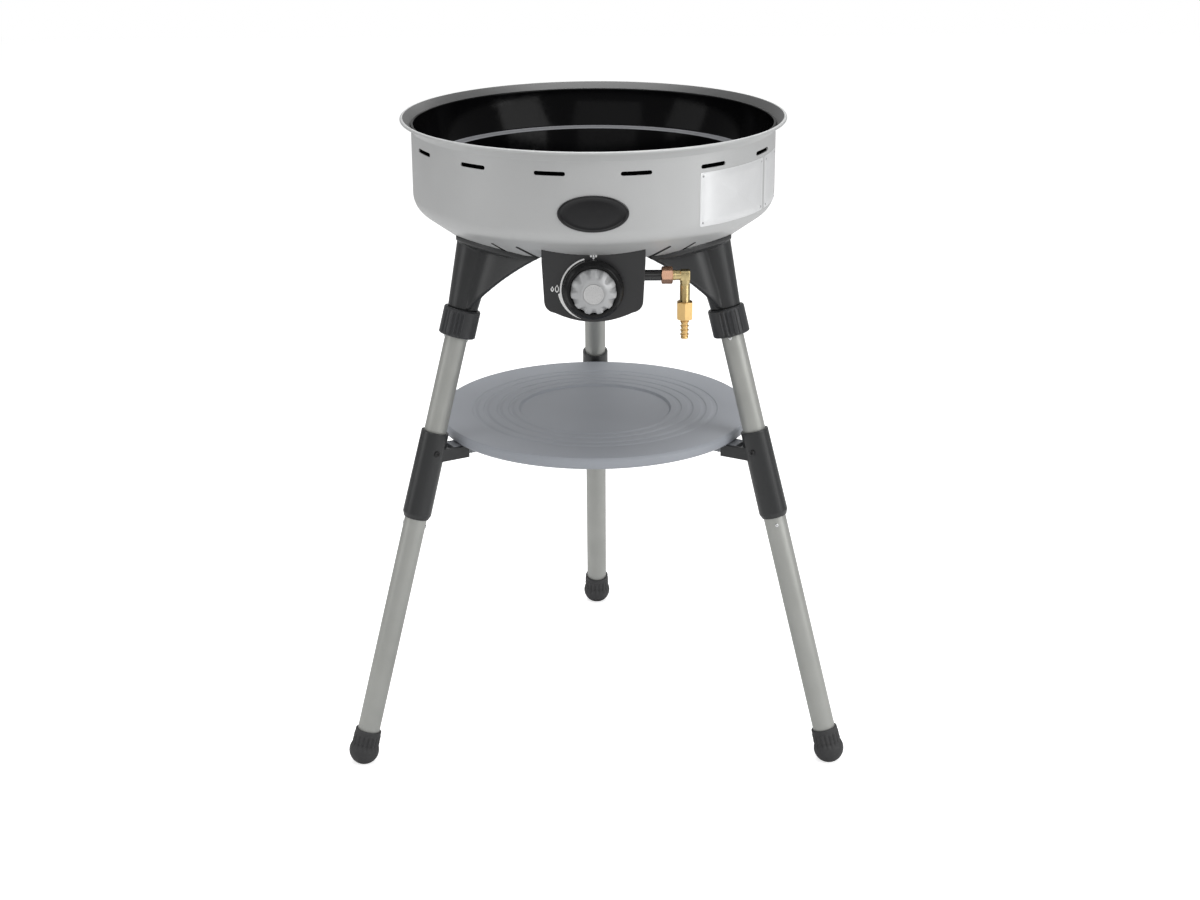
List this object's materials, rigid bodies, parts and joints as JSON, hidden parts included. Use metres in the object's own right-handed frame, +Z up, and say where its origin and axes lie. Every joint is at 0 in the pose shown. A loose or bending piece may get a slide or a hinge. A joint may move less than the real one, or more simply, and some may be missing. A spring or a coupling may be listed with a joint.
{
  "type": "portable tripod gas grill",
  "caption": "Portable gas grill: silver round bowl with a black pan on a splayed tripod, with a round shelf, a front gas knob and a barbed hose inlet.",
  "frame": {"origin": "on the floor at the centre of the three feet", "axes": "+Z up through the bowl's axis; -Y is the front, with the valve panel and knob; +X is the gas inlet's side"},
  "size_m": [0.632, 0.6, 0.8],
  "materials": {
    "bowl_paint": "satin silver-grey paint",
    "black_enamel": "gloss black enamel",
    "steel": "plain",
    "burner_iron": "dark, matt",
    "screw_steel": "zinc plated",
    "spring_steel": "bright wire",
    "ceramic": "glazed",
    "lead_rubber": "matt",
    "dark_plastic": "fine grain",
    "panel_paint": "satin dark grey paint",
    "brass": "bright",
    "gloss_black": "gloss",
    "grey_plastic": "satin",
    "silver_plastic": "satin silver",
    "black_pipe": "satin black",
    "copper_nut": "copper-toned",
    "badge_black": "gloss, bare",
    "label_foil": "satin foil, bare",
    "tube_steel": "satin grey paint",
    "black_screw": "blackened",
    "foot_rubber": "matt, ribbed",
    "shelf_paint": "satin blue-grey",
    "shelf_plastic": "satin, ribbed"
  },
  "bodies": {
    "base": {"bowl_shell": "bowl_paint", "burner_tube": "steel", "burner_head": "burner_iron", "burner_cap": "burner_iron", "burner_bracket": "steel", "bracket_screws": "screw_steel", "igniter_electrode": "ceramic", "igniter_lead": "lead_rubber", "igniter_box": "dark_plastic", "valve_panel": "panel_paint", "panel_screws": "screw_steel", "gas_valve": "brass", "gas_jet": "brass", "inlet_pipe": "black_pipe", "inlet_nut": "copper_nut", "inlet_elbow": "brass", "front_badge": "badge_black", "side_plates": "label_foil", "socket_screws": "screw_steel", "leg_socket_left": "dark_plastic", "leg_socket_right": "dark_plastic", "leg_socket_rear": "dark_plastic"},
    "pan": {"pan": "black_enamel"},
    "valve_plug": {"valve_plug": "brass", "valve_spring": "spring_steel"},
    "knob": {"valve_stem": "screw_steel", "knob_skirt": "gloss_black", "knob_grip": "grey_plastic", "knob_face": "silver_plastic"},
    "collar_left": {"clamp_collar_left": "dark_plastic"},
    "upper_leg_left": {"upper_tube_left": "tube_steel", "upper_pin_left": "screw_steel", "sleeve_left": "dark_plastic", "sleeve_screw_left": "black_screw"},
    "lower_leg_left": {"lower_tube_left": "tube_steel", "lower_pin_left": "screw_steel", "foot_left": "foot_rubber"},
    "collar_right": {"clamp_collar_right": "dark_plastic"},
    "upper_leg_right": {"upper_tube_right": "tube_steel", "upper_pin_right": "screw_steel", "sleeve_right": "dark_plastic", "sleeve_screw_right": "black_screw"},
    "lower_leg_right": {"lower_tube_right": "tube_steel", "lower_pin_right": "screw_steel", "foot_right": "foot_rubber"},
    "collar_rear": {"clamp_collar_rear": "dark_plastic"},
    "upper_leg_rear": {"upper_tube_rear": "tube_steel", "upper_pin_rear": "screw_steel", "sleeve_rear": "dark_plastic", "sleeve_screw_rear": "black_screw"},
    "lower_leg_rear": {"lower_tube_rear": "tube_steel", "lower_pin_rear": "screw_steel", "foot_rear": "foot_rubber"},
    "shelf": {"shelf": "shelf_paint", "shelf_brackets": "shelf_plastic", "shelf_screws": "screw_steel"},
    "hose_tail": {"hose_tail": "brass", "hose_seal": "lead_rubber"},
    "hose_nut": {"hose_nut": "brass"}
  },
  "joints": [
    {"name": "pan_lift", "type": "slide", "parent": "base", "child": "pan", "axis": [0, 0, 1], "range_m": [0, 0.12]},
    {"name": "knob_turn", "type": "hinge", "parent": "base", "child": "valve_plug", "pos_m": [0, -0.174, 0.62884], "axis": [0, -1, 0], "range_deg": [0, 200]},
    {"name": "knob_push", "type": "slide", "parent": "valve_plug", "child": "knob", "axis": [0, 1, 0], "range_m": [0, 0.003], "stiffness_N_per_m": 1500, "springref_m": -0.002},
    {"name": "collar_turn_left", "type": "hinge", "parent": "base", "child": "collar_left", "pos_m": [-0.16503, -0.09528, 0.56212], "axis": [-0.2329, -0.1345, -0.9632], "range_deg": [0, 120]},
    {"name": "leg_pull_left", "type": "slide", "parent": "base", "child": "upper_leg_left", "axis": [-0.2329, -0.1345, -0.9632], "range_m": [0, 0.065]},
    {"name": "foot_pull_left", "type": "slide", "parent": "upper_leg_left", "child": "lower_leg_left", "axis": [-0.2329, -0.1345, -0.9632], "range_m": [0, 0.052]},
    {"name": "collar_turn_right", "type": "hinge", "parent": "base", "child": "collar_right", "pos_m": [0.16503, -0.09528, 0.56212], "axis": [0.2329, -0.1345, -0.9632], "range_deg": [0, 120]},
    {"name": "leg_pull_right", "type": "slide", "parent": "base", "child": "upper_leg_right", "axis": [0.2329, -0.1345, -0.9632], "range_m": [0, 0.065]},
    {"name": "foot_pull_right", "type": "slide", "parent": "upper_leg_right", "child": "lower_leg_right", "axis": [0.2329, -0.1345, -0.9632], "range_m": [0, 0.052]},
    {"name": "collar_turn_rear", "type": "hinge", "parent": "base", "child": "collar_rear", "pos_m": [0, 0.19056, 0.56212], "axis": [0, 0.2689, -0.9632], "range_deg": [0, 120]},
    {"name": "leg_pull_rear", "type": "slide", "parent": "base", "child": "upper_leg_rear", "axis": [0, 0.2689, -0.9632], "range_m": [0, 0.065]},
    {"name": "foot_pull_rear", "type": "slide", "parent": "upper_leg_rear", "child": "lower_leg_rear", "axis": [0, 0.2689, -0.9632], "range_m": [0, 0.052]},
    {"name": "shelf_lift", "type": "slide", "parent": "base", "child": "shelf", "axis": [0, 0, 1], "range_m": [0, 0.028]},
    {"name": "hose_off", "type": "slide", "parent": "base", "child": "hose_tail", "axis": [0, 0, -1], "range_m": [-0.006, 0.01]},
    {"name": "hose_nut_turn", "type": "hinge", "parent": "hose_tail", "child": "hose_nut", "pos_m": [0.108, -0.168, 0.59584], "axis": [0, 0, 1], "continuous": true}
  ]
}
